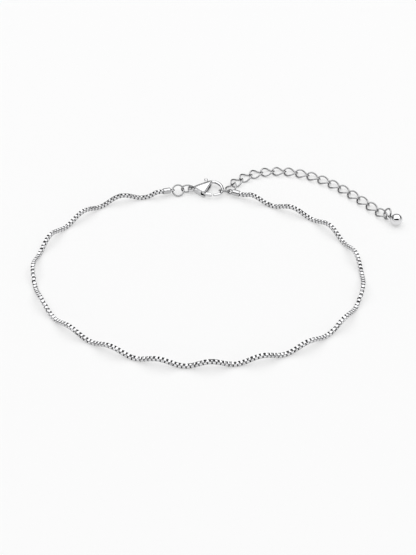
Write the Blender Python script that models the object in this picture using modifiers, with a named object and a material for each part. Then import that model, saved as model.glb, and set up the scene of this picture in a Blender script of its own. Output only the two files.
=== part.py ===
"""Fine chain bracelet: a box chain set in an upright wave, a lobster clasp with a
sprung lever, and an extension chain of curb links that ends in a small ball.

Lengths below are millimetres and are turned into metres where a shape is made.
+X runs along the bracelet's long side, +Y away from its front, +Z up. The floor
is z = 0 and the bracelet lies on it. Places are written as they lie on the
floor and are measured from CENTRE, the middle of the bracelet's box.
"""
from math import cos, pi, radians, sin

import bmesh
import bpy
import numpy as np
from mathutils import Matrix, Vector

MM = 0.001
CENTRE = (2.912, 5.332)

# Wave chain
CHAIN_SIDE = 0.90            # across the flats of the square chain
WAVE_LENGTH = 9.68           # along the floor, crest to crest
WAVE_RISE = 1.30             # centre line, trough to crest
FIRST_CREST = 0.66           # from the chain's left end
CAP_BLEND = (0.95, 4.0)      # the wave grows between these distances from an end
CHAIN_POINTS = 152
# Floor route of the chain between its end caps, left end round the front to the right
LOOP_ROUTE = [(-11.1, 25.1), (-20.7, 23.0), (-27.6, 17.9), (-33.1, 11.3),
              (-35.8, 3.1), (-34.1, -5.3), (-29.3, -12.5), (-22.4, -17.6),
              (-14.6, -21.3), (-6.1, -23.3), (2.5, -23.3), (11.0, -21.8),
              (19.0, -18.6), (25.9, -13.3), (30.5, -6.0), (31.3, 2.5),
              (28.3, 10.6), (22.7, 17.1), (15.0, 21.2)]

# End caps: a cup for the chain with a loop soldered to its closed end
CAP_RADIUS = 0.68
CAP_BORE = 0.53
CAP_LENGTH = 1.70
CAP_BORE_DEPTH = 1.10
CAP_LOOP_RADIUS = 0.50       # centre line of the loop
CAP_LOOP_WIRE = 0.16
CHAIN_END_IN_CAP = 0.90
LEFT_LOOP, LEFT_MOUTH = (-8.05, 26.15, 1.12), (-9.98, 25.49, 1.31)
LEFT_LOOP_AXIS = (0.0, 0.45, 0.89)
RIGHT_LOOP, RIGHT_MOUTH = (4.983, 25.714, 1.104), (7.000, 24.913, 1.096)
RIGHT_LOOP_AXIS = (0.230, 0.842, -0.79)

# Jump rings: centre, axis, centre-line radius, wire radius
JUMP_RINGS = {
    "jump_ring_large": ((-6.71, 26.21, 1.00), (0.08, -0.72, 1.0), 1.25, 0.19),
    "jump_ring_small": ((-4.78, 26.47, 1.32), (-0.16, 1.0, 0.18), 1.15, 0.17),
    "jump_ring_clasp": ((3.695, 25.981, 1.066), (0.109, 0.989, 1.0), 1.20, 0.19),
}

# Curb links of the extension
LINK_REACH = 0.21            # of the wire's centre line past half the pitch
LINK_HALF_WIDTH = 1.12
LINK_TWIST = -45.0           # degrees each end turns about the link's length
LINK_WIRE = 0.175
LINK_PITCH = 2.70
LINK_HEIGHT = 0.60
LINK_COUNT = 16
FIRST_LINK = ((5.220, 27.436, 0.680), (0.511, 0.954, 0.174), (-0.198, 0.058, 1.0))
EXTENSION_ROUTE = [(6.54, 29.62), (8.63, 31.32), (13.67, 33.16), (19.04, 33.07),
                   (24.14, 31.33), (28.66, 28.40), (32.63, 24.74), (38.08, 18.75)]

# Ball drop: places are along, and to the left of, the last link's direction
DROP_RING_PLACE = (1.223, 0.290, 1.289)
DROP_RING_AXIS = (-1.017, -1.828, 1.0)
DROP_RING_RADIUS = 1.15
DROP_RING_WIRE = 0.19
BALL_RADIUS = 1.32
BALL_PLACE = (3.742, 0.299)
BALL_EYE_RADIUS = 0.42
BALL_EYE_WIRE = 0.15
BALL_EYE_DISTANCE = 1.60
BALL_EYE_DIRECTION = (200.3, 0.0)   # from the last link, and rise, degrees
BALL_EYE_ROLL = -89.2

# Lobster clasp, lying flat: heights are above the floor
CLASP_MID = 1.00
BODY_THICKNESS = 2.00
BODY_ROUND = 0.62
BODY_OUTLINE = [(-3.15, 27.10), (-2.45, 27.62), (-1.50, 28.12), (-0.50, 28.62),
                (0.25, 29.08), (0.82, 29.15), (0.98, 28.75), (0.75, 28.10),
                (0.30, 27.05), (-0.15, 26.05), (-0.45, 25.30), (-0.75, 24.82),
                (-1.25, 24.88), (-1.95, 25.45), (-2.60, 26.05), (-3.15, 26.45)]
HOOK_ROUTE = [(0.38, 29.03), (1.20, 29.12), (2.20, 28.72), (2.95, 27.78),
              (3.23, 26.60), (3.00, 25.55), (2.30, 24.83), (1.40, 24.58)]
HOOK_RADIUS = 0.40
HOOK_TIP_RADIUS = 0.30
BAIL_CENTRE = (-3.77, 26.80)
BAIL_RADIUS = 0.66
BAIL_WIRE = (0.22, 0.52)     # half width and half height of the eye's wall
LEVER_PIVOT = (-1.00, 25.75)
LEVER_THICKNESS = 0.72
SLOT_HEIGHT = 0.94
PIN_RADIUS = 0.20
PIN_HOLE = 0.29
PIN_INSET = 0.25             # of each end of the pin below the body's faces
LEVER_ROUND = 0.14
CAP_ROUND = 0.14
SLOT_OUTLINE = [(-1.55, 24.0), (0.98, 24.0), (1.03, 28.15), (0.05, 28.35),
                (0.0, 30.5), (-2.65, 30.5), (-1.62, 25.9)]
LEVER_OUTLINE = [(-1.50, 25.95), (-1.42, 25.42), (-1.05, 25.22), (-0.55, 24.72),
                 (0.00, 24.44), (0.70, 24.33), (0.90, 24.47), (0.92, 24.80),
                 (0.70, 24.98), (0.10, 25.10), (-0.40, 25.35), (-0.50, 25.80),
                 (-0.66, 26.15), (-0.26, 29.60), (-0.62, 29.62), (-1.06, 26.28)]
NUB_CENTRE = (-0.45, 29.82)
NUB_RADIUS = 0.44

SILVER = (0.86, 0.86, 0.87, 1.0)


def at(x, y, z=0.0):
    """A place on the floor, or above it, in metres from the bracelet's middle."""
    return Vector(((x - CENTRE[0]) * MM, (y - CENTRE[1]) * MM, z * MM))


def fresh_collection(name):
    collection = bpy.data.collections.new(name)
    bpy.context.scene.collection.children.link(collection)
    return collection


def place_in(obj, collection):
    for other in list(obj.users_collection):
        other.objects.unlink(obj)
    collection.objects.link(obj)


def metal(name, roughness):
    material = bpy.data.materials.new(name)
    material.use_nodes = True
    shader = material.node_tree.nodes["Principled BSDF"]
    shader.inputs["Base Color"].default_value = SILVER
    shader.inputs["Metallic"].default_value = 1.0
    shader.inputs["Roughness"].default_value = roughness
    material.diffuse_color = SILVER
    return material


def finish(obj, name, roughness=0.12):
    """Name the piece, give it its own metal and put it in the bracelet."""
    obj.name = name
    obj.data.name = name
    obj.data.materials.clear()
    obj.data.materials.append(metal(name, roughness))
    place_in(obj, bracelet)
    return obj


def shade(obj, angle=35.0):
    obj.data.shade_smooth()
    obj.data.set_sharp_from_angle(angle=radians(angle))


def tool(obj, name):
    """Keep a shape that only serves another piece's Boolean."""
    obj.name = name
    obj.hide_render = True
    obj.display_type = 'WIRE'
    place_in(obj, cutters)
    return obj


def combine(obj, other, operation):
    modifier = obj.modifiers.new(other.name, 'BOOLEAN')
    modifier.operation = operation
    modifier.solver = 'EXACT'
    modifier.object = other


def smooth_line(points, count):
    """Natural cubic spline through the points, read at even steps of its chords."""
    points = np.asarray(points, float)
    knots = np.concatenate([[0.0], np.cumsum(
        np.linalg.norm(np.diff(points, axis=0), axis=1))])
    step = np.diff(knots)
    size = len(knots)
    system = np.zeros((size, size))
    right = np.zeros_like(points)
    system[0, 0] = system[-1, -1] = 1.0
    for i in range(1, size - 1):
        system[i, i - 1:i + 2] = step[i - 1], 2.0 * (step[i - 1] + step[i]), step[i]
        right[i] = 6.0 * ((points[i + 1] - points[i]) / step[i]
                          - (points[i] - points[i - 1]) / step[i - 1])
    bend = np.linalg.solve(system, right)
    u = np.linspace(0.0, knots[-1], count)
    i = np.clip(np.searchsorted(knots, u, side='right') - 1, 0, size - 2)
    a = ((knots[i + 1] - u) / step[i])[:, None]
    b = ((u - knots[i]) / step[i])[:, None]
    h = (step[i] ** 2 / 6.0)[:, None]
    return a * points[i] + b * points[i + 1] + h * (
        (a ** 3 - a) * bend[i] + (b ** 3 - b) * bend[i + 1])


def even_line(points, count):
    """The smooth line through the points, with its stations evenly spaced."""
    fine = smooth_line(points, 2000)
    run = np.concatenate([[0.0], np.cumsum(
        np.linalg.norm(np.diff(fine, axis=0), axis=1))])
    stations = np.linspace(0.0, run[-1], count)
    line = np.stack([np.interp(stations, run, fine[:, k])
                     for k in range(fine.shape[1])], 1)
    return line, stations


def wire(name, points, radius, closed=False, resolution=1, radii=None):
    """A round wire along a polyline given in millimetres on the floor frame."""
    curve = bpy.data.curves.new(name, 'CURVE')
    curve.dimensions = '3D'
    curve.bevel_depth = radius * MM
    curve.bevel_resolution = resolution
    curve.use_fill_caps = True
    spline = curve.splines.new('POLY')
    spline.points.add(len(points) - 1)
    for k, (point, place) in enumerate(zip(spline.points, points)):
        point.co = (*at(*place), 1.0)
        if radii is not None:
            point.radius = radii[k] / radius
    spline.use_cyclic_u = closed
    obj = bpy.data.objects.new(name, curve)
    bpy.context.scene.collection.objects.link(obj)
    return obj


def solid_from(obj):
    """A welded mesh made from a curve object, which is then removed."""
    graph = bpy.context.evaluated_depsgraph_get()
    mesh = bpy.data.meshes.new_from_object(obj.evaluated_get(graph))
    shape = bmesh.new()
    shape.from_mesh(mesh)
    bmesh.ops.remove_doubles(shape, verts=shape.verts, dist=0.000005)
    bmesh.ops.recalc_face_normals(shape, faces=shape.faces)
    shape.to_mesh(mesh)
    shape.free()
    solid = bpy.data.objects.new(obj.name, mesh)
    solid.matrix_world = obj.matrix_world
    bpy.context.scene.collection.objects.link(solid)
    bpy.data.objects.remove(obj)
    return solid


def ring(centre, axis, radius, wire_radius, around=16, sides=6, turn=0.0):
    """A round ring as a torus, with its hole along the axis."""
    bpy.ops.mesh.primitive_torus_add(
        major_segments=around, minor_segments=sides,
        major_radius=radius * MM, minor_radius=wire_radius * MM,
        location=at(*centre),
        rotation=(Vector(axis).to_track_quat('Z', 'Y')
                  @ Matrix.Rotation(radians(turn), 3, 'Z').to_quaternion()).to_euler())
    return bpy.context.object


def plate(name, outline, low, high, rounding=0.0, steps=2):
    """A flat outline given a thickness, its edges rounded inwards by a bevel."""
    curve = bpy.data.curves.new(name, 'CURVE')
    curve.dimensions = '2D'
    curve.fill_mode = 'BOTH'
    curve.extrude = (high - low) / 2.0 * MM
    spline = curve.splines.new('POLY')
    spline.points.add(len(outline) - 1)
    for point, (x, y) in zip(spline.points, outline):
        point.co = (*at(x, y), 1.0)
    spline.use_cyclic_u = True
    obj = bpy.data.objects.new(name, curve)
    obj.location.z = (low + high) / 2.0 * MM
    bpy.context.scene.collection.objects.link(obj)
    bpy.context.view_layer.update()
    obj = solid_from(obj)
    if rounding:
        bevel = obj.modifiers.new("rounding", 'BEVEL')
        bevel.width = rounding * MM
        bevel.segments = steps
        bevel.limit_method = 'ANGLE'
        bevel.angle_limit = radians(60.0)
        bevel.use_clamp_overlap = True
    return obj


def cylinder(name, centre, axis, radius, length, sides=16):
    bpy.ops.mesh.primitive_cylinder_add(
        vertices=sides, radius=radius * MM, depth=length * MM, location=at(*centre),
        rotation=Vector(axis).to_track_quat('Z', 'Y').to_euler())
    obj = bpy.context.object
    obj.name = name
    return obj


def ball(centre, radius, around, rows, axis=(0, 0, 1)):
    bpy.ops.mesh.primitive_uv_sphere_add(
        segments=around, ring_count=rows, radius=radius * MM, location=at(*centre),
        rotation=Vector(axis).to_track_quat('Z', 'Y').to_euler())
    return bpy.context.object


def between(start, end, distance):
    """The place at a distance from start towards end."""
    start, end = Vector(start), Vector(end)
    return start + (end - start).normalized() * distance


def cap_stations(loop, mouth):
    """Where the chain ends inside a cap, and the cap's mouth."""
    return between(mouth, loop, CHAIN_END_IN_CAP), Vector(mouth)


def chain_line(count):
    """Centre line of the chain: the floor route with its upright wave.

    Height = half the chain + half the rise x (1 + cos(2 pi (s - first crest) /
    wave length)), faded over CAP_BLEND into the straight line of each cap.
    """
    left_end, left_mouth = cap_stations(LEFT_LOOP, LEFT_MOUTH)
    right_end, right_mouth = cap_stations(RIGHT_LOOP, RIGHT_MOUTH)
    route = ([tuple(left_end[:2]), tuple(left_mouth[:2])] + LOOP_ROUTE
             + [tuple(right_mouth[:2]), tuple(right_end[:2])])
    floor, run = even_line(route, count)
    height = CHAIN_SIDE / 2.0 + WAVE_RISE / 2.0 * (
        1.0 + np.cos(2.0 * pi * (run - FIRST_CREST) / WAVE_LENGTH))
    for end, mouth, away in ((left_end, left_mouth, run),
                             (right_end, right_mouth, run[-1] - run)):
        slope = (mouth[2] - end[2]) / CHAIN_END_IN_CAP
        straight = end[2] + slope * away
        t = np.clip((away - CAP_BLEND[0]) / (CAP_BLEND[1] - CAP_BLEND[0]), 0.0, 1.0)
        height = straight + (height - straight) * t * t * (3.0 - 2.0 * t)
    return np.column_stack([floor, height])


def make_wave_chain():
    line = chain_line(CHAIN_POINTS)
    obj = wire("wave_chain", line, CHAIN_SIDE / 2.0 / cos(pi / 8), resolution=2)
    for point in obj.data.splines[0].points:
        point.tilt = pi / 8
    obj.data.twist_mode = 'Z_UP'
    return finish(obj, "wave_chain", 0.18)


def make_end_cap(name, loop, mouth, loop_axis):
    inner = between(mouth, loop, CAP_LENGTH)
    axis = Vector(mouth) - Vector(loop)
    cap = cylinder(name, (Vector(mouth) + inner) / 2.0, axis, CAP_RADIUS, CAP_LENGTH, 16)
    bevel = cap.modifiers.new("rounding", 'BEVEL')
    bevel.width = CAP_ROUND * MM
    bevel.segments = 1
    bevel.limit_method = 'ANGLE'
    bore_end = between(mouth, loop, CAP_BORE_DEPTH)
    bore_start = between(mouth, loop, -0.6)
    bore = tool(cylinder("bore", (bore_start + bore_end) / 2.0, axis, CAP_BORE,
                         CAP_BORE_DEPTH + 0.6, 16), name + "_bore")
    eye = tool(ring(loop, loop_axis, CAP_LOOP_RADIUS, CAP_LOOP_WIRE, 14, 6, 13.0),
               name + "_loop")
    combine(cap, eye, 'UNION')
    combine(cap, bore, 'DIFFERENCE')
    shade(cap)
    return finish(cap, name)


def make_jump_rings():
    for name, (centre, axis, radius, wire_radius) in JUMP_RINGS.items():
        obj = ring(centre, axis, radius, wire_radius)
        shade(obj)
        finish(obj, name)


def link_places():
    """Centre, direction and up vector of every curb link.

    Links past the route's end go straight on, along its last direction.
    """
    fine = smooth_line(EXTENSION_ROUTE, 1200)
    run = np.concatenate([[0.0], np.cumsum(
        np.linalg.norm(np.diff(fine, axis=0), axis=1))])
    onward = (fine[-1] - fine[-2]) / np.linalg.norm(fine[-1] - fine[-2])
    places = [FIRST_LINK]
    for k in range(LINK_COUNT - 1):
        here, ahead, behind = (
            np.array([np.interp(max(s, 0.0), run, fine[:, i]) for i in (0, 1)])
            + onward * max(s - run[-1], 0.0)
            for s in (k * LINK_PITCH + step for step in (0.0, 0.5, -0.5)))
        places.append(((*here, LINK_HEIGHT), (*(ahead - behind), 0.0),
                       (0.0, 0.0, 1.0)))
    return places


def link_line(centre, along, up, count=16):
    """An oval whose two ends turn opposite ways about its length."""
    x = Vector(along).normalized()
    z = Vector(up)
    z = (z - z.dot(x) * x).normalized()
    y = z.cross(x)
    points = []
    for k in range(count):
        t = 2.0 * pi * k / count
        twist = radians(LINK_TWIST) * cos(t)
        points.append(Vector(centre) + (LINK_PITCH / 2.0 + LINK_REACH) * cos(t) * x
                      + LINK_HALF_WIDTH * sin(t) * (cos(twist) * y + sin(twist) * z))
    return points


def make_extension():
    for k, (centre, along, up) in enumerate(link_places(), 1):
        name = "extension_link_%02d" % k
        obj = solid_from(wire(name, link_line(centre, along, up), LINK_WIRE,
                              closed=True, resolution=1))
        shade(obj)
        finish(obj, name)


def drop_frame():
    """The last link's centre, and its direction and left on the floor."""
    centre, along, _ = link_places()[-1]
    along = Vector(along).normalized()
    return Vector((centre[0], centre[1], 0.0)), along, Vector((-along.y, along.x, 0.0))


def make_drop_ring():
    centre, along, left = drop_frame()
    place = (centre + DROP_RING_PLACE[0] * along + DROP_RING_PLACE[1] * left
             + Vector((0.0, 0.0, DROP_RING_PLACE[2])))
    axis = (DROP_RING_AXIS[0] * along + DROP_RING_AXIS[1] * left
            + Vector((0.0, 0.0, DROP_RING_AXIS[2])))
    obj = ring(place, axis, DROP_RING_RADIUS, DROP_RING_WIRE)
    shade(obj)
    finish(obj, "jump_ring_drop")


def make_ball_drop():
    last, along, left = drop_frame()
    centre = (last + BALL_PLACE[0] * along + BALL_PLACE[1] * left
              + Vector((0.0, 0.0, BALL_RADIUS)))
    bearing, rise = (radians(a) for a in BALL_EYE_DIRECTION)
    out = (cos(rise) * (cos(bearing) * along + sin(bearing) * left)
           + sin(rise) * Vector((0.0, 0.0, 1.0)))
    side = Vector((out.y, -out.x, 0.0)).normalized()
    roll = radians(BALL_EYE_ROLL)
    hole = out.cross(cos(roll) * Vector((0, 0, 1)) + sin(roll) * side)
    body = ball(centre, BALL_RADIUS, 16, 12, out)
    eye = tool(ring(centre + BALL_EYE_DISTANCE * out, hole, BALL_EYE_RADIUS,
                    BALL_EYE_WIRE, 12, 6, 11.0), "ball_eye")
    combine(body, eye, 'UNION')
    shade(body, 50.0)
    return finish(body, "ball_drop", 0.05)


def make_clasp_body():
    low = CLASP_MID - BODY_THICKNESS / 2.0
    body = plate("clasp_body", BODY_OUTLINE, low, low + BODY_THICKNESS,
                 BODY_ROUND, 3)
    route = smooth_line(HOOK_ROUTE, 22)
    share = np.linspace(0.0, 1.0, len(route))
    radii = list(HOOK_RADIUS + (HOOK_TIP_RADIUS - HOOK_RADIUS) * share ** 3)
    ahead = (route[-1] - route[-2]) / np.linalg.norm(route[-1] - route[-2])
    places = [(x, y, CLASP_MID) for x, y in route]
    for turn in (25.0, 50.0, 72.0):
        x, y = route[-1] + ahead * HOOK_TIP_RADIUS * sin(radians(turn))
        places.append((x, y, CLASP_MID))
        radii.append(HOOK_TIP_RADIUS * cos(radians(turn)))
    hook = tool(solid_from(wire("hook", places, HOOK_RADIUS, resolution=2,
                                radii=radii)), "clasp_hook")
    bail = ring((*BAIL_CENTRE, CLASP_MID), (0, 0, 1), BAIL_RADIUS, BAIL_WIRE[0],
                16, 8, 9.0)
    bail.scale.z = BAIL_WIRE[1] / BAIL_WIRE[0]
    bail = tool(bail, "clasp_bail")
    slot = tool(plate("slot", SLOT_OUTLINE, CLASP_MID - SLOT_HEIGHT / 2.0,
                      CLASP_MID + SLOT_HEIGHT / 2.0), "clasp_slot")
    pin = tool(cylinder("pin", (*LEVER_PIVOT, CLASP_MID), (0, 0, 1), PIN_RADIUS,
                        BODY_THICKNESS - 2.0 * PIN_INSET, 12), "clasp_pin")
    combine(body, hook, 'UNION')
    combine(body, bail, 'UNION')
    combine(body, slot, 'DIFFERENCE')
    combine(body, pin, 'UNION')
    shade(body, 40.0)
    return finish(body, "clasp_body")


def make_clasp_lever():
    """Gate, stem and thumb nub in one plate, with its hole on the pivot pin."""
    lever = plate("clasp_lever", LEVER_OUTLINE, CLASP_MID - LEVER_THICKNESS / 2.0,
                  CLASP_MID + LEVER_THICKNESS / 2.0, LEVER_ROUND, 2)
    nub = tool(ball((*NUB_CENTRE, CLASP_MID), NUB_RADIUS, 14, 10), "lever_nub")
    hole = tool(cylinder("hole", (*LEVER_PIVOT, CLASP_MID), (0, 0, 1), PIN_HOLE,
                         3.0, 12), "lever_hole")
    combine(lever, nub, 'UNION')
    combine(lever, hole, 'DIFFERENCE')
    pivot = at(*LEVER_PIVOT, CLASP_MID)
    lever.data.transform(Matrix.Translation(lever.matrix_world.translation - pivot))
    lever.location = pivot
    shade(lever, 40.0)
    return finish(lever, "clasp_lever")


for obj in list(bpy.data.objects):
    bpy.data.objects.remove(obj)
for old in list(bpy.data.collections):
    bpy.data.collections.remove(old)
bracelet = fresh_collection("chain_bracelet")
cutters = fresh_collection("cutters")

make_wave_chain()
make_end_cap("end_cap_left", LEFT_LOOP, LEFT_MOUTH, LEFT_LOOP_AXIS)
make_end_cap("end_cap_right", RIGHT_LOOP, RIGHT_MOUTH, RIGHT_LOOP_AXIS)
make_jump_rings()
make_extension()
make_drop_ring()
make_ball_drop()
make_clasp_body()
make_clasp_lever()
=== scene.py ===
"""Fine wave-set box chain bracelet in polished silver, dressed for its picture.

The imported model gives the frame. The chain's tube is replaced by its real box
links, and the caps, rings, curb links, clasp, lever and ball get smooth polished
surfaces in the same places. Lengths in comments are millimetres; every mesh is in
metres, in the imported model's own axes.
"""
from math import cos, pi, radians, sin

import bmesh
import bpy
import numpy as np
from bpy.props import FloatProperty, FloatVectorProperty, PointerProperty
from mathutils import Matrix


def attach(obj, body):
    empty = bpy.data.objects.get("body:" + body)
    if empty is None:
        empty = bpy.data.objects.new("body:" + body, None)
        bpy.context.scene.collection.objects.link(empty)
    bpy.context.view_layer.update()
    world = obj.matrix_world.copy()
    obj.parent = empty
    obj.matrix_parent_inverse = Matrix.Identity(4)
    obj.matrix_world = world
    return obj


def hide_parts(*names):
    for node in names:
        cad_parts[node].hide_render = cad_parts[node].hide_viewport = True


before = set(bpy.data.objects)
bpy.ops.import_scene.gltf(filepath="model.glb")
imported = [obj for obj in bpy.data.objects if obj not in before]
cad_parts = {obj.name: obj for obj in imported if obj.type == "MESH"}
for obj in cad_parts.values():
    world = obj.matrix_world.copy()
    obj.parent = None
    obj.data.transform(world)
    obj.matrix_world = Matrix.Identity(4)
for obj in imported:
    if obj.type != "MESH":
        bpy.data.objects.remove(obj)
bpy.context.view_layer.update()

bl_info = {
    "name": "Chain Bracelet",
    "version": (1, 0, 0),
    "blender": (4, 5, 0),
    "location": "3D View > Sidebar > Bracelet",
    "description": "Dresses a wave-set box chain bracelet with clasp and extension",
    "category": "Add Mesh",
}

MM = 0.001
CENTRE = np.array([2.912, 5.332, 0.0])     # the model's middle, from the floor's marks
CLASP_MID = 1.00                           # height of the clasp's middle plane
HOOK_HALF_HEIGHT = 0.42
BAIL_END = -3.2                            # the bail lies left of it
FLOOR_GAP = 0.003
GROOVE_DEPTH, GROOVE_RISE = 0.16, 0.46     # into the wall, and above CLASP_MID
GROOVE_INWARDS = (0.66, 0.75)
# Edges of the clasp's body: the back one is worn down to the hook's height, and the
# front one carries a groove
BODY_BACK = [(-3.15, 27.10), (-2.45, 27.62), (-1.50, 28.12), (-0.50, 28.62),
             (0.25, 29.08), (0.82, 29.15), (0.98, 28.75)]
BODY_FRONT = [(-3.15, 26.45), (-2.60, 26.05), (-1.95, 25.45), (-1.25, 24.88)]

# Floor route of the wave chain between its caps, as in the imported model
LOOP_ROUTE = [(-11.1, 25.1), (-20.7, 23.0), (-27.6, 17.9), (-33.1, 11.3),
              (-35.8, 3.1), (-34.1, -5.3), (-29.3, -12.5), (-22.4, -17.6),
              (-14.6, -21.3), (-6.1, -23.3), (2.5, -23.3), (11.0, -21.8),
              (19.0, -18.6), (25.9, -13.3), (30.5, -6.0), (31.3, 2.5),
              (28.3, 10.6), (22.7, 17.1), (15.0, 21.2)]
CHAIN_END_IN_CAP = 0.90
CAP_BLEND = (0.95, 4.0)
CHAIN_END_MARGIN = 0.05
# Section of the box links' strip, as shares of its thickness and half its breadth, and
# how much of the metal's full colour each of its points keeps: the rest is painted shade,
# darkest on the inside of the box and at the strip's edges
STRIP_SECTION = [(-0.45, -1.0), (0.34, -0.80), (0.5, 0.0), (0.34, 0.80),
                 (-0.45, 1.0), (-0.5, 0.0)]
STRIP_PAINTED_LIT_SHARE = [0.2, 1.0, 1.0, 1.0, 0.2, 0.0]

# Caps: loop centre, mouth centre, axis of the loop
CAPS = {
    "end_cap_left": ((-8.05, 26.15, 1.12), (-9.98, 25.49, 1.31), (0.0, 0.45, 0.89)),
    "end_cap_right": ((4.983, 25.714, 1.104), (7.0, 24.913, 1.096),
                      (0.23, 0.842, -0.79)),
}
CAP_LOOP = (0.50, 0.16)                    # centre-line radius, wire radius
CAP_INSIDE = 0.60                          # from the closed end to the cup's bottom

# Jump rings: centre, axis, centre-line radius, wire radius, bearing of the split
JUMP_RINGS = {
    "jump_ring_large": ((-6.71, 26.21, 1.00), (0.08, -0.72, 1.0), 1.25, 0.19, 250.0),
    "jump_ring_small": ((-4.78, 26.47, 1.32), (-0.16, 1.0, 0.18), 1.15, 0.17, 80.0),
    "jump_ring_clasp": ((3.695, 25.981, 1.066), (0.109, 0.989, 1.0), 1.20, 0.19, 300.0),
    "jump_ring_drop": ((39.10, 18.03, 1.289), (-2.045, -0.442, 1.0), 1.15, 0.19, 30.0),
}
SPLIT_HALF = 0.018
SPLIT_EDGE = (0.03, 0.88)                  # length of the rounded edge, share of the wire

# Curb links of the extension
LINK_HALF_LENGTH = 1.56
LINK_HALF_WIDTH = 1.12
LINK_TWIST = -45.0
LINK_PITCH = 2.70
LINK_HEIGHT = 0.60
LINK_COUNT = 16
FIRST_LINK = ((5.22, 27.436, 0.68), (0.511, 0.954, 0.174), (-0.198, 0.058, 1.0))
EXTENSION_ROUTE = [(6.54, 29.62), (8.63, 31.32), (13.67, 33.16), (19.04, 33.07),
                   (24.14, 31.33), (28.66, 28.40), (32.63, 24.74), (38.08, 18.75)]

BALL_CENTRE = (40.77, 16.14, 1.32)
BALL_EYE = (0.42, 0.15)                    # centre-line radius, wire radius
BALL_EYE_DISTANCE = 1.60
BALL_EYE_DIRECTION = (151.6, 0.0)
BALL_EYE_ROLL = -89.2

# Each metal: share of the silver's colour, which is painted light and shade: one silver
# made lighter or darker for each piece to match how the light falls on it; drift of the
# roughness, size and depth of the rubbed hairlines
LOOKS = {
    "chain_silver": (0.78, 0.08, 0.06, 0.002),
    "cap_silver": (0.62, 0.05, 0.08, 0.003),
    "ring_silver": (0.48, 0.05, 0.07, 0.003),
    "link_silver": (0.50, 0.05, 0.07, 0.003),
    "ball_silver": (0.96, 0.02, 0.10, 0.001),
    "clasp_silver": (0.78, 0.05, 0.10, 0.004),
}
# Painted shade: how far the colour darkens inside the chain's links and in the other
# pieces' recesses
CHAIN_PAINTED_SHADE, RECESS_PAINTED_SHADE = 0.93, 0.85
BALL_GLOSS = 0.4                           # the ball's roughness to the other pieces'

CAMERA_PLACE = (0.0, -128.17, 132.72)
# Light overhead, in metres
SOFTBOX_SIZE = (4.2, 3.5)
SOFTBOX_PLACE = (0.0, 0.95, 2.0)
# Black slit in the room, in tangents from the camera's direction: how far its middle
# lies to the left and down, and where each half fades out
SLIT_SHIFT = (0.38, 0.02)
SLIT_HALF_WIDTH = (0.98, 1.08)
SLIT_HALF_HEIGHT = (0.24, 0.30)


# Shader maths

class Signal:
    """One socket of a material, with Python's operators adding Math nodes."""

    def __init__(self, finish, socket):
        self.finish, self.socket = finish, socket

    def _math(self, operation, first, second):
        return self.finish.node("ShaderNodeMath", {"operation": operation},
                                {0: first, 1: second})

    def __add__(self, other):
        return self._math("ADD", self, other)

    def __sub__(self, other):
        return self._math("SUBTRACT", self, other)

    def __rsub__(self, other):
        return self._math("SUBTRACT", other, self)

    def __mul__(self, other):
        return self._math("MULTIPLY", self, other)


class Finish:
    """A material or world being mixed, and the one method that adds its nodes."""

    def __init__(self, name, holder=None):
        self.material = holder or bpy.data.materials.new(name)
        self.material.use_nodes = True
        self.tree = self.material.node_tree

    def feed(self, socket, value):
        if isinstance(value, Signal):
            self.tree.links.new(value.socket, socket)
        else:
            socket.default_value = value

    def node(self, kind, settings=None, inputs=None, output=0):
        made = self.tree.nodes.new(kind)
        for key, value in (settings or {}).items():
            if key == "stops":
                ramp = made.color_ramp
                while len(ramp.elements) < len(value):
                    ramp.elements.new(0.5)
                for stop, (place, shade) in zip(ramp.elements, value):
                    stop.position, stop.color = place, (shade, shade, shade, 1.0)
            else:
                setattr(made, key, value)
        for key, value in (inputs or {}).items():
            self.feed(made.inputs[key], value)
        return Signal(self, made.outputs[output])


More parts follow.
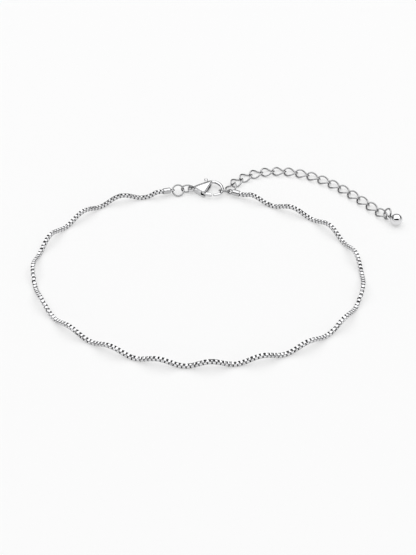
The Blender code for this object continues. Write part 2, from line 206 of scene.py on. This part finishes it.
def polished_silver(name, metal, roughness, painted_shade_from_mesh=False):
    """Polished white metal: slow drift in gloss, and fine rubbed hairlines.

    Roughness = base + drift x (cloud - 1/2) + half the drift x (rub - 1/2). The
    hairlines are a noise drawn out along one direction, which also feeds a bump of a
    few hundredths of a rub's width. Hollows get painted shade, a darkened colour: on the
    chain from the mesh's own attribute, and elsewhere by how closed in a place is.
    """
    painted_tone, drift, rub_mm, rub_depth = LOOKS[name]
    finish = Finish(name)
    shader = finish.tree.nodes["Principled BSDF"]
    # Painted light and shade: each piece gets its own share of the one silver's colour
    colour = (*(part * painted_tone for part in metal.colour), 1.0)
    shader.inputs["Base Color"].default_value = colour
    shader.inputs["Metallic"].default_value = 1.0
    place = finish.node("ShaderNodeTexCoord", output="Object")
    cloud = finish.node("ShaderNodeTexNoise", {}, {
        "Vector": place, "Scale": 1.0 / metal.cloud_size, "Detail": 3.0}, "Fac")
    stretched = finish.node("ShaderNodeMapping", {}, {
        "Vector": place, "Rotation": (0.3, 0.2, 0.5), "Scale": (0.25, 1.0, 1.0)})
    rub = finish.node("ShaderNodeTexNoise", {}, {
        "Vector": stretched, "Scale": 1.0 / (rub_mm * MM), "Detail": 4.0,
        "Roughness": 0.6}, "Fac")
    finish.feed(shader.inputs["Roughness"],
                (cloud - 0.5) * drift + (rub - 0.5) * drift * 0.5 + roughness)
    bump = finish.node("ShaderNodeBump", {}, {
        "Height": rub, "Strength": 0.5, "Distance": rub_depth * MM}, "Normal")
    finish.feed(shader.inputs["Normal"], bump)
    # Painted shade: the colour darkens by the mesh's attribute on the chain, and by how
    # closed in a place is elsewhere
    painted_shade = CHAIN_PAINTED_SHADE if painted_shade_from_mesh else RECESS_PAINTED_SHADE
    if painted_shade_from_mesh:
        wear = finish.node("ShaderNodeAttribute", {"attribute_name": "wear"}, {}, "Fac")
    else:
        open_air = finish.node("ShaderNodeAmbientOcclusion", {"samples": 8},
                               {"Distance": metal.painted_shade_reach}, "AO")
        wear = finish.node(
            "ShaderNodeMapRange", {"interpolation_type": 'SMOOTHSTEP'},
            {"Value": open_air, "From Min": 0.25, "From Max": 0.80}, "Result")
    mixed = finish.node("ShaderNodeMix", {"data_type": 'RGBA'}, {
        0: wear, 6: (*(part * (1.0 - painted_shade) for part in colour[:3]), 1.0),
        7: colour}, 2)
    finish.feed(shader.inputs["Base Color"], mixed)
    finish.material.diffuse_color = colour
    return finish.material


# Surfaces worked out on grids

def unit(vector):
    vector = np.asarray(vector, float)
    return vector / np.linalg.norm(vector, axis=-1, keepdims=True)


def floor(points):
    """Places on the floor's marks, in millimetres, to metres in the model's axes."""
    return (np.asarray(points, float) - CENTRE) * MM


def grid_faces(rows, columns, wrap_rows, wrap_columns):
    """Quads of a grid of points, closed in either direction where asked."""
    i, j = np.meshgrid(np.arange(rows if wrap_rows else rows - 1),
                       np.arange(columns if wrap_columns else columns - 1),
                       indexing="ij")
    down, across = (i + 1) % rows, (j + 1) % columns
    return np.stack([i * columns + j, down * columns + j, down * columns + across,
                     i * columns + across], -1).reshape(-1, 4)


def piece(name, shells, material, body="bracelet", stands_for=(), sharp=35.0,
          weld=True):
    """One object from shells of (points in metres, quads), riding on a body.

    Edges bent by more than sharp degrees stay crisp. Welding closes the seams of
    shells that shrink to a point, and turns every face outwards.
    """
    starts = np.cumsum([0] + [len(points) for points, _ in shells])
    points = np.concatenate([points for points, _ in shells])
    quads = np.concatenate([quads + start
                            for (_, quads), start in zip(shells, starts)])
    mesh = bpy.data.meshes.new(name)
    mesh.vertices.add(len(points))
    mesh.vertices.foreach_set("co", points.astype(np.float32).ravel())
    mesh.loops.add(quads.size)
    mesh.loops.foreach_set("vertex_index", quads.astype(np.int32).ravel())
    mesh.polygons.add(len(quads))
    mesh.polygons.foreach_set("loop_start", np.arange(0, quads.size, 4, np.int32))
    mesh.update(calc_edges=True)
    mesh.validate()
    if weld:
        shape = bmesh.new()
        shape.from_mesh(mesh)
        bmesh.ops.remove_doubles(shape, verts=shape.verts, dist=1e-6)
        bmesh.ops.recalc_face_normals(shape, faces=shape.faces)
        shape.to_mesh(mesh)
        shape.free()
    mesh.shade_smooth()
    mesh.set_sharp_from_angle(angle=radians(sharp))
    return show(bpy.data.objects.new(name, mesh), material, body, stands_for)


def show(obj, material, body, stands_for):
    """Link a finished object, give it its metal, hang it on its body and hide the parts
    it stands for.
    """
    bpy.context.scene.collection.objects.link(obj)
    obj.data.materials.clear()
    obj.data.materials.append(material)
    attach(obj, body)
    if stands_for:
        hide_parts(*stands_for)
    return obj


def axes(axis):
    """Two directions square to the axis, in a right-handed set with it."""
    z = unit(axis)
    x = unit(np.cross((0.0, 1.0, 0.0) if abs(z[1]) < 0.9 else (1.0, 0.0, 0.0), z))
    return x, np.cross(z, x), z


def turn_pair(first, second, angle):
    """Two square directions turned together by an angle, first towards second."""
    return (first * np.cos(angle) + second * np.sin(angle),
            second * np.cos(angle) - first * np.sin(angle))


def ring_shell(centre, axis, radius, wire, around=56, sides=14, split=None):
    """Torus: centre + (R + r cos v)(cos u X + sin u Y) + r sin v Z.

    With a split the ring stops a hair short of a full turn at that bearing, and
    each end is closed by rows that shrink to the wire's middle.
    """
    x, y, z = axes(axis)
    v = np.linspace(0.0, 2.0 * pi, sides, endpoint=False)
    if split is None:
        u = np.linspace(0.0, 2.0 * pi, around, endpoint=False)
        thick = np.full(around, wire)
    else:
        hair = SPLIT_HALF / radius
        u = radians(split) + np.linspace(hair, 2.0 * pi - hair, around)
        edge, lip = SPLIT_EDGE[0] / radius, wire * SPLIT_EDGE[1]
        u = np.concatenate([[u[0], u[0], u[0] + edge], u[2:-2],
                            [u[-1] - edge, u[-1], u[-1]]])
        thick = np.concatenate([[0.0, lip], np.full(len(u) - 4, wire), [lip, 0.0]])
    out = (radius + thick[:, None] * np.cos(v))[..., None] * (
        np.cos(u)[:, None, None] * x + np.sin(u)[:, None, None] * y)
    points = np.asarray(centre) + out + (thick[:, None] * np.sin(v))[..., None] * z
    return floor(points).reshape(-1, 3), grid_faces(len(u), sides, split is None, True)


def turned_shell(base, axis, profile, around=48):
    """Surface of revolution: base + h Z + r (cos u X + sin u Y), for each (r, h)."""
    x, y, z = axes(axis)
    r, h = np.asarray(profile, float).T
    u = np.linspace(0.0, 2.0 * pi, around, endpoint=False)
    points = (np.asarray(base) + h[:, None, None] * z + r[:, None, None] * (
        np.cos(u)[:, None] * x + np.sin(u)[:, None] * y))
    return floor(points).reshape(-1, 3), grid_faces(len(r), around, False, True)


def smooth_line(points, count):
    """Natural cubic spline through the points, read at even steps of its chords."""
    points = np.asarray(points, float)
    knots = run_along(points)
    step = np.diff(knots)
    size = len(knots)
    system = np.zeros((size, size))
    right = np.zeros_like(points)
    system[0, 0] = system[-1, -1] = 1.0
    for i in range(1, size - 1):
        system[i, i - 1:i + 2] = step[i - 1], 2.0 * (step[i - 1] + step[i]), step[i]
        right[i] = 6.0 * ((points[i + 1] - points[i]) / step[i]
                          - (points[i] - points[i - 1]) / step[i - 1])
    bend = np.linalg.solve(system, right)
    u = np.linspace(0.0, knots[-1], count)
    i = np.clip(np.searchsorted(knots, u, side="right") - 1, 0, size - 2)
    a = ((knots[i + 1] - u) / step[i])[:, None]
    b = ((u - knots[i]) / step[i])[:, None]
    h = (step[i] ** 2 / 6.0)[:, None]
    return a * points[i] + b * points[i + 1] + h * (
        (a ** 3 - a) * bend[i] + (b ** 3 - b) * bend[i + 1])


def run_along(points):
    """Length along a polyline, from its start to each of its points."""
    return np.concatenate([[0.0], np.cumsum(
        np.linalg.norm(np.diff(points, axis=0), axis=1))])


def chain_line(sizes, count=6000):
    """The wave chain's centre line: floor route, and an upright cosine wave.

    Height = half the chain + half the rise x (1 + cos(2 pi (s - first crest) /
    wave length)), blended over CAP_BLEND into the straight line of each cap.
    """
    ends = []
    for loop, mouth, _ in CAPS.values():
        loop, mouth = np.asarray(loop), np.asarray(mouth)
        ends.append((mouth + unit(loop - mouth) * CHAIN_END_IN_CAP, mouth))
    (left_end, left_mouth), (right_end, right_mouth) = ends
    route = smooth_line([left_end[:2], left_mouth[:2], *LOOP_ROUTE,
                         right_mouth[:2], right_end[:2]], count)
    run = run_along(route)
    height = sizes.side / MM / 2.0 + sizes.wave_rise / MM / 2.0 * (
        1.0 + np.cos(2.0 * pi * (run - sizes.first_crest / MM)
                     / (sizes.wave_length / MM)))
    for end, mouth, away in ((left_end, left_mouth, run),
                             (right_end, right_mouth, run[-1] - run)):
        straight = end[2] + (mouth[2] - end[2]) / CHAIN_END_IN_CAP * away
        height = straight + (height - straight) * ease(away, *CAP_BLEND)
    return np.column_stack([route, height])


def box_links(sizes):
    """Every link of the box chain: a rounded square of domed strip, turned by turns.

    Link k sits at arc length (k + 1/2) x pitch. The middle of its strip runs round a
    square with rounded corners, which lies along the chain and stands up for even
    links and sideways for odd ones. The strip's section, STRIP_SECTION, follows it.
    The chain's points, its quads and each point's share of colour left by the painted
    shade are returned.
    """
    line = chain_line(sizes)
    run = run_along(line)

    def read(s):
        return np.stack([np.interp(s, run, line[:, k]) for k in range(3)], -1)

    reach = run[-1] - 2.0 * CHAIN_END_MARGIN
    count = int(reach / (sizes.pitch / MM))
    at = CHAIN_END_MARGIN + (np.arange(count) + 0.5) * reach / count
    centre, along = read(at), unit(read(at + 0.2) - read(at - 0.2))
    up = unit(np.array([0.0, 0.0, 1.0]) - along[:, 2:3] * along)
    side = np.cross(up, along)
    random = np.random.default_rng(5)
    roll = np.radians(random.normal(sizes.roll, sizes.play, count))[:, None]
    up, side = turn_pair(up, side, roll)
    nod = np.radians(random.normal(0.0, sizes.play, count))[:, None]
    along, up = turn_pair(along, up, nod)
    even = (np.arange(count) % 2 == 0)[:, None]
    across, broad = np.where(even, up, side), np.where(even, side, -up)
    half, cut = np.array([sizes.length, sizes.side]) / MM / 2.0, sizes.corner / MM
    thick = sizes.thickness / MM
    corner = np.radians([0.0, 45.0, 90.0])
    turn = np.concatenate([corner + radians(90.0 * k) for k in range(4)])
    sign = np.array([(1, 1), (-1, 1), (-1, -1), (1, -1)]).repeat(len(corner), 0)
    out = np.stack([np.cos(turn), np.sin(turn)], -1)
    middle = sign * (half - cut) + out * (cut - thick / 2.0)
    section = np.array(STRIP_SECTION) * (1.0, sizes.breadth / MM / 2.0)
    rows, columns = len(turn), len(section)
    flat = middle[:, None, :] + out[:, None, :] * section[None, :, :1] * thick
    flat = np.concatenate([flat, np.broadcast_to(section[None, :, 1:],
                                                 (rows, columns, 1))], -1)
    basis = np.stack([along, across, broad], 1)
    points = centre[:, None, None, :] + np.einsum("rsk,nkd->nrsd", flat, basis)
    quads = grid_faces(rows, columns, True, True)[:, ::-1]
    first = rows * columns * np.arange(count)[:, None, None]
    # Painted shade: each point keeps its listed share of the full colour, darkest inside
    # the box and at the strip's edges
    wear = np.tile(STRIP_PAINTED_LIT_SHARE, rows * count)
    return floor(points).reshape(-1, 3), (quads[None] + first).reshape(-1, 4), wear


def link_places():
    """Centre, direction and up vector of every curb link."""
    fine = smooth_line(EXTENSION_ROUTE, 1200)
    run = run_along(fine)
    onward = unit(fine[-1] - fine[-2])
    places = [FIRST_LINK]
    for k in range(LINK_COUNT - 1):
        here, ahead, behind = (
            [np.interp(max(s, 0.0), run, fine[:, i]) + onward[i] * max(s - run[-1], 0.0)
             for i in (0, 1)] for s in (k * LINK_PITCH + d for d in (0.0, 0.5, -0.5)))
        places.append(((*here, LINK_HEIGHT),
                       (ahead[0] - behind[0], ahead[1] - behind[1], 0.0),
                       (0.0, 0.0, 1.0)))
    return places


def curb_shell(centre, along, up, wire, around=56, sides=12):
    """Twisted oval wire: A cos t X + B sin t (cos w Y + sin w Z), w = twist x cos t.

    The round section stands on the outward direction from the link's middle.
    """
    x = unit(along)
    z = np.asarray(up, float)
    z = unit(z - z.dot(x) * x)
    y = np.cross(z, x)
    t = np.linspace(0.0, 2.0 * pi, around, endpoint=False)[:, None]
    twist = radians(LINK_TWIST) * np.cos(t)
    line = LINK_HALF_LENGTH * np.cos(t) * x + LINK_HALF_WIDTH * np.sin(t) * (
        np.cos(twist) * y + np.sin(twist) * z)
    ahead = unit(np.roll(line, -1, 0) - np.roll(line, 1, 0))
    out = unit(line - (line * ahead).sum(1, keepdims=True) * ahead)
    side = np.cross(ahead, out)
    v = np.linspace(0.0, 2.0 * pi, sides, endpoint=False)[:, None]
    points = np.asarray(centre) + line[:, None] + wire * (
        np.cos(v) * out[:, None] + np.sin(v) * side[:, None])
    return floor(points).reshape(-1, 3), grid_faces(around, sides, True, True)


def cast_copy(node, name, voxel, passes):
    """A soft cast form of a CAD node: fine even skin over it, then smoothed."""
    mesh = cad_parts[node].data.copy()
    shape = bmesh.new()
    shape.from_mesh(mesh)
    bmesh.ops.remove_doubles(shape, verts=shape.verts, dist=1e-6)
    shape.to_mesh(mesh)
    shape.free()
    obj = bpy.data.objects.new(name, mesh)
    bpy.context.scene.collection.objects.link(obj)
    skin = obj.modifiers.new("skin", 'REMESH')
    skin.mode = 'VOXEL'
    skin.voxel_size = voxel * MM
    soften = obj.modifiers.new("soften", 'SMOOTH')
    soften.factor, soften.iterations = 0.5, passes
    graph = bpy.context.evaluated_depsgraph_get()
    done = bpy.data.meshes.new_from_object(obj.evaluated_get(graph))
    bpy.data.objects.remove(obj)
    done.shade_smooth()
    return bpy.data.objects.new(name, done)


def far_from(line, places):
    """Distance from places on the floor to the nearest point of a polyline."""
    line = np.asarray(line)
    best = np.full(len(places), np.inf)
    for start, end in zip(line[:-1], line[1:]):
        run = end - start
        t = np.clip((places - start) @ run / (run @ run), 0.0, 1.0)
        best = np.minimum(best, np.linalg.norm(places - start - t[:, None] * run, axis=1))
    return best


def ease(value, start, end):
    """Smooth step of a value, from 0 at start to 1 at end."""
    t = np.clip((value - start) / (end - start), 0.0, 1.0)
    return t * t * (3.0 - 2.0 * t)


def dome_body(mesh):
    """Round the clasp's body down to its hook, and cut the groove of its front wall.

    What stands higher than the hook shrinks to 0.1 + 0.9 x ease(d), for the distance
    d to the back edge, above and below alike. The bail stays as it is, and the
    underside keeps just clear of the floor.
    """
    points = np.empty(len(mesh.vertices) * 3, np.float32)
    mesh.vertices.foreach_get("co", points)
    points = points.reshape(-1, 3) / MM + CENTRE
    tall = points[:, 2] - CLASP_MID
    over = np.maximum(np.abs(tall) - HOOK_HALF_HEIGHT, 0.0)
    share = 0.1 + 0.9 * ease(far_from(BODY_BACK, points[:, :2]), 0.12, 1.05)
    share = np.where(points[:, 0] < BAIL_END, 1.0, share)
    points[:, 2] = CLASP_MID + np.sign(tall) * (np.abs(tall) - over * (1.0 - share))
    near = 1.0 - ease(far_from(BODY_FRONT, points[:, :2]), 0.05, 0.22)
    groove = near * (1.0 - ease(np.abs(tall - GROOVE_RISE), 0.10, 0.22))
    points[:, :2] += GROOVE_DEPTH * groove[:, None] * unit(GROOVE_INWARDS)
    points[:, 2] = np.maximum(points[:, 2], FLOOR_GAP)
    mesh.vertices.foreach_set("co", floor(points).astype(np.float32).ravel())
    mesh.update()


class BraceletMetal(bpy.types.PropertyGroup):
    """Colour and gloss of the bracelet's silver."""
    colour: FloatVectorProperty(name="Silver", description="Colour of the metal",
                                subtype='COLOR', size=3, default=(0.78, 0.78, 0.79))
    gloss: FloatProperty(name="Roughness", description="Roughness of polished pieces",
                         default=0.06, min=0.0, max=1.0, subtype='FACTOR')
    chain_gloss: FloatProperty(name="Chain roughness",
                               description="Roughness of the box links",
                               default=0.07, min=0.0, max=1.0, subtype='FACTOR')
    # Painted shade: reach of the colour's darkening in closed-in places
    painted_shade_reach: FloatProperty(name="Recess", default=0.0006, unit='LENGTH',
                          description="Reach of the darker tarnish in recesses")
    cloud_size: FloatProperty(name="Cloud size",
                              description="Size of the slow changes in gloss",
                              default=0.0014, unit='LENGTH')


class BraceletChain(bpy.types.PropertyGroup):
    """Sizes of the box chain and of its wave."""
    side: FloatProperty(name="Side", description="Across the flats of the chain",
                        default=0.00095, unit='LENGTH')
    pitch: FloatProperty(name="Pitch", description="From a link to the next",
                         default=0.000416, unit='LENGTH')
    length: FloatProperty(name="Link length", description="Length of one link",
                          default=0.00073, unit='LENGTH')
    breadth: FloatProperty(name="Strip breadth", description="Breadth of the strip",
                           default=0.00062, unit='LENGTH')
    thickness: FloatProperty(name="Strip thickness",
                             description="Thickness of the strip",
                             default=0.00017, unit='LENGTH')
    corner: FloatProperty(name="Corner", description="Outer corner radius of a link",
                          default=0.00026, unit='LENGTH')
    roll: FloatProperty(name="Roll", description="Turn of the chain inwards, degrees",
                        default=0.0)
    play: FloatProperty(name="Play", description="How unevenly the links lie, degrees",
                        default=3.2)
    wave_length: FloatProperty(name="Wave length", description="Crest to crest",
                               default=0.00968, unit='LENGTH')
    wave_rise: FloatProperty(name="Wave rise", description="Trough to crest",
                             default=0.00130, unit='LENGTH')
    first_crest: FloatProperty(name="First crest",
                               description="From the chain's left end",
                               default=0.00066, unit='LENGTH')


class BraceletRings(bpy.types.PropertyGroup):
    """Wires of the small pieces."""
    link_wire: FloatProperty(name="Link wire", description="Radius of curb link wire",
                             default=0.000188, unit='LENGTH')
    cap_radius: FloatProperty(name="Cap radius", description="Outside of an end cap",
                              default=0.00068, unit='LENGTH')
    cap_length: FloatProperty(name="Cap length", description="Length of an end cap",
                              default=0.00170, unit='LENGTH')
    ball_radius: FloatProperty(name="Ball radius", description="Radius of the ball",
                               default=0.00132, unit='LENGTH')


class BraceletStage(bpy.types.PropertyGroup):
    """Floor, light and camera of the picture."""
    floor_shade: FloatProperty(name="Floor", description="Whiteness of the floor",
                               default=0.36, min=0.0, max=1.0, subtype='FACTOR')
    floor_glow: FloatProperty(name="Floor glow", default=0.53,
                              description="Light that comes through the floor")
    lens: FloatProperty(name="Lens", description="Focal length, millimetres",
                        default=58.38)
    camera_rise: FloatProperty(name="Camera rise", default=46.0,
                               description="Degrees of the camera above the floor")
    softbox: FloatProperty(name="Softbox", default=1.4,
                           description="Brightness of the light overhead")
    room: FloatProperty(name="Room", default=1.0,
                        description="Brightness of the room around")


def settings():
    """The bracelet's settings in the open scene."""
    return bpy.context.scene.bracelet


class BRACELET_OT_stage(bpy.types.Operator):
    """Camera, pale floor and soft surrounding light"""
    bl_idname = "bracelet.stage"
    bl_label = "Stage"

    def execute(self, context):
        stage = settings().stage
        data = bpy.data.cameras.new("picture_camera")
        data.sensor_width, data.lens = 36.0, stage.lens
        data.clip_start, data.clip_end = 0.005, 10.0
        camera = bpy.data.objects.new("picture_camera", data)
        context.scene.collection.objects.link(camera)
        camera.location = floor(CAMERA_PLACE)
        camera.rotation_euler = (radians(90.0 - stage.camera_rise), 0.0, 0.0)
        context.scene.camera = camera

        mesh = bpy.data.meshes.new("floor")
        mesh.from_pydata([(-3, -3, 0), (3, -3, 0), (3, 3, 0), (-3, 3, 0)], [],
                         [(0, 1, 2, 3)])
        ground = bpy.data.objects.new("floor", mesh)
        context.scene.collection.objects.link(ground)
        paper = Finish("white_paper")
        shader = paper.tree.nodes["Principled BSDF"]
        shade = stage.floor_shade
        shader.inputs["Base Color"].default_value = (shade, shade, shade, 1.0)
        shader.inputs["Emission Color"].default_value = (1.0, 1.0, 1.0, 1.0)
        shader.inputs["Emission Strength"].default_value = stage.floor_glow
        shader.inputs["Roughness"].default_value = 0.9
        shader.inputs["Specular IOR Level"].default_value = 0.1
        mesh.materials.append(paper.material)
        self.softbox(context, stage)
        self.room(context, stage)
        context.scene.view_settings.view_transform = 'Standard'
        return {'FINISHED'}

    def softbox(self, context, stage):
        """One wide soft light overhead, a little behind the bracelet."""
        data = bpy.data.lights.new("softbox", 'AREA')
        data.shape = 'RECTANGLE'
        data.size, data.size_y = SOFTBOX_SIZE
        data.energy = stage.softbox * pi * data.size * data.size_y
        light = bpy.data.objects.new("softbox", data)
        context.scene.collection.objects.link(light)
        light.location = SOFTBOX_PLACE

    def room(self, context, stage):
        """Pale room: grey sides, a dark foot at the back, a black slit in front.

        Brightness follows the direction looked in, in three steps: height, how far
        to a side, and how far to the front. The slit lies within set tangents of
        the camera's own direction.
        """
        world = bpy.data.worlds.new("pale_room")
        context.scene.world = world
        room = Finish("pale_room", world)
        look = room.node("ShaderNodeTexCoord", output="Generated")

        def dot(vector):
            return room.node("ShaderNodeVectorMath", {"operation": 'DOT_PRODUCT'},
                             {0: look, 1: vector}, "Value")

        def maths(operation, first, second=0.0):
            return room.node("ShaderNodeMath", {"operation": operation},
                             {0: first, 1: second})

        def step(value, start, end, low, high):
            return room.node(
                "ShaderNodeMapRange", {"interpolation_type": 'SMOOTHSTEP'},
                {"Value": value, "From Min": start, "From Max": end,
                 "To Min": low, "To Max": high}, "Result")

        height, across, front = (dot(v) for v in ((0.0, 0.0, 1.0), (1.0, 0.0, 0.0),
                                                  (0.0, -1.0, 0.0)))
        shade = step(height, 0.30, 0.75, 0.12, 0.62) * step(
            maths('ABSOLUTE', across), 0.70, 0.92, 1.0, 0.45)
        share = step(front, -0.45, 0.50, 0.0, 1.0)
        shade = shade * (1.0 - share) + share * 0.92
        rise = radians(stage.camera_rise)
        clear = maths('MAXIMUM', dot((0.0, -cos(rise), sin(rise))), 0.001)
        sideways, upward = (
            maths('ABSOLUTE', maths('DIVIDE', way, clear) + shift)
            for way, shift in zip((across, dot((0.0, sin(rise), cos(rise)))),
                                  SLIT_SHIFT))
        slit = step(sideways, *SLIT_HALF_WIDTH, 1.0, 0.0) * step(
            upward, *SLIT_HALF_HEIGHT, 1.0, 0.0)
        backdrop = room.tree.nodes["Background"]
        room.feed(backdrop.inputs["Color"], shade * (1.0 - slit))
        backdrop.inputs["Strength"].default_value = stage.room


class BRACELET_OT_wave_chain(bpy.types.Operator):
    """The wave-set box chain, link by link"""
    bl_idname = "bracelet.wave_chain"
    bl_label = "Wave chain"

    def execute(self, context):
        metal = settings().metal
        material = polished_silver("chain_silver", metal, metal.chain_gloss, painted_shade_from_mesh=True)
        points, quads, wear = box_links(settings().chain)
        links = piece("wave_chain_links", [(points, quads)], material,
                      stands_for=("wave_chain",), sharp=21.0, weld=False)
        # Painted shade on the links, read by the chain's material
        painted_lit_layer = links.data.attributes.new("wear", 'FLOAT', 'POINT')
        painted_lit_layer.data.foreach_set("value", wear.astype(np.float32))
        return {'FINISHED'}


class BRACELET_OT_end_caps(bpy.types.Operator):
    """The two cups that hold the chain's ends, with their loops"""
    bl_idname = "bracelet.end_caps"
    bl_label = "End caps"

    def execute(self, context):
        metal, sizes = settings().metal, settings().rings
        material = polished_silver("cap_silver", metal, metal.gloss)
        r, length = sizes.cap_radius / MM, sizes.cap_length / MM
        # Radius and distance from the closed end, out along the cup and back inside
        profile = [(0.0, 0.0), (r * 0.55, 0.0), (r * 0.82, 0.04), (r * 0.96, 0.14),
                   (r, 0.30), (r * 0.985, length * 0.5), (r * 0.985, length - 0.22),
                   (r, length - 0.16), (r, length - 0.05), (r * 0.97, length),
                   (r * 0.84, length), (r * 0.80, length - 0.05),
                   (r * 0.79, CAP_INSIDE + 0.02), (r * 0.72, CAP_INSIDE),
                   (0.0, CAP_INSIDE)]
        for name, (loop, mouth, loop_axis) in CAPS.items():
            axis = unit(np.subtract(mouth, loop))
            base = np.asarray(mouth) - axis * length
            shells = [turned_shell(base, axis, profile),
                      ring_shell(loop, loop_axis, *CAP_LOOP)]
            piece(name + "_polished", shells, material, stands_for=(name,))
        return {'FINISHED'}


class BRACELET_OT_jump_rings(bpy.types.Operator):
    """Round jump rings with their hairline splits"""
    bl_idname = "bracelet.jump_rings"
    bl_label = "Jump rings"

    def execute(self, context):
        metal = settings().metal
        material = polished_silver("ring_silver", metal, metal.gloss)
        for name, (centre, axis, radius, wire, split) in JUMP_RINGS.items():
            piece(name + "_polished",
                  [ring_shell(centre, axis, radius, wire, 80, 16, split)],
                  material, stands_for=(name,))
        return {'FINISHED'}


class BRACELET_OT_extension(bpy.types.Operator):
    """The sixteen curb links of the extension"""
    bl_idname = "bracelet.extension"
    bl_label = "Extension"

    def execute(self, context):
        metal, wire = settings().metal, settings().rings.link_wire / MM
        material = polished_silver("link_silver", metal, metal.gloss)
        for k, (centre, along, up) in enumerate(link_places(), 1):
            name = "extension_link_%02d" % k
            piece(name + "_polished", [curb_shell(centre, along, up, wire)],
                  material, stands_for=(name,))
        return {'FINISHED'}


class BRACELET_OT_ball(bpy.types.Operator):
    """The polished ball and its soldered eye"""
    bl_idname = "bracelet.ball"
    bl_label = "Ball"

    def execute(self, context):
        metal, radius = settings().metal, settings().rings.ball_radius / MM
        material = polished_silver("ball_silver", metal, metal.gloss * BALL_GLOSS)
        bearing, rise = (radians(a) for a in BALL_EYE_DIRECTION)
        out = np.array([cos(rise) * cos(bearing), cos(rise) * sin(bearing), sin(rise)])
        side = unit([out[1], -out[0], 0.0])
        roll = radians(BALL_EYE_ROLL)
        hole = np.cross(out, cos(roll) * np.array([0, 0, 1.0]) + sin(roll) * side)
        u = np.linspace(0.0, pi, 49)
        profile = np.column_stack([radius * np.sin(u), -radius * np.cos(u)])
        eye = np.asarray(BALL_CENTRE) + BALL_EYE_DISTANCE * out
        shells = [turned_shell(BALL_CENTRE, out, profile, 96),
                  ring_shell(eye, hole, *BALL_EYE)]
        piece("ball_drop_polished", shells, material, stands_for=("ball_drop",),
              sharp=80.0)
        return {'FINISHED'}


class BRACELET_OT_clasp(bpy.types.Operator):
    """The lobster clasp's cast body and its lever"""
    bl_idname = "bracelet.clasp"
    bl_label = "Clasp"

    def execute(self, context):
        metal = settings().metal
        material = polished_silver("clasp_silver", metal, metal.gloss)
        body = cast_copy("clasp_body", "clasp_body_polished", voxel=0.045, passes=10)
        dome_body(body.data)
        show(body, material, "bracelet", ("clasp_body",))
        lever = cast_copy("clasp_lever", "clasp_lever_polished", voxel=0.03, passes=6)
        show(lever, material, "lever", ("clasp_lever",))
        return {'FINISHED'}


class BRACELET_settings(bpy.types.PropertyGroup):
    """All sizes and looks of the bracelet"""
    metal: PointerProperty(type=BraceletMetal, name="Metal")
    chain: PointerProperty(type=BraceletChain, name="Chain")
    rings: PointerProperty(type=BraceletRings, name="Rings")
    stage: PointerProperty(type=BraceletStage, name="Stage")


OPERATORS = (BRACELET_OT_stage, BRACELET_OT_wave_chain, BRACELET_OT_end_caps,
             BRACELET_OT_jump_rings, BRACELET_OT_extension, BRACELET_OT_ball,
             BRACELET_OT_clasp)


class BRACELET_PT_panel(bpy.types.Panel):
    """The bracelet's pieces and sizes"""
    bl_idname = "BRACELET_PT_panel"
    bl_label = "Chain Bracelet"
    bl_space_type = 'VIEW_3D'
    bl_region_type = 'UI'
    bl_category = "Bracelet"

    def draw(self, context):
        for operator in OPERATORS:
            self.layout.operator(operator.bl_idname)
        for group in ("metal", "chain", "rings", "stage"):
            box = self.layout.box()
            owner = getattr(context.scene.bracelet, group)
            for name in owner.bl_rna.properties.keys():
                if name not in ("rna_type", "name"):
                    box.prop(owner, name)


CLASSES = (BraceletMetal, BraceletChain, BraceletRings, BraceletStage,
           BRACELET_settings, *OPERATORS, BRACELET_PT_panel)


def register():
    for made in CLASSES:
        bpy.utils.register_class(made)
    bpy.types.Scene.bracelet = PointerProperty(type=BRACELET_settings)


def unregister():
    del bpy.types.Scene.bracelet
    for made in reversed(CLASSES):
        bpy.utils.unregister_class(made)


def main():
    register()
    for operator in OPERATORS:
        group, name = operator.bl_idname.split(".")
        getattr(getattr(bpy.ops, group), name)()


if __name__ == "__main__":
    main()
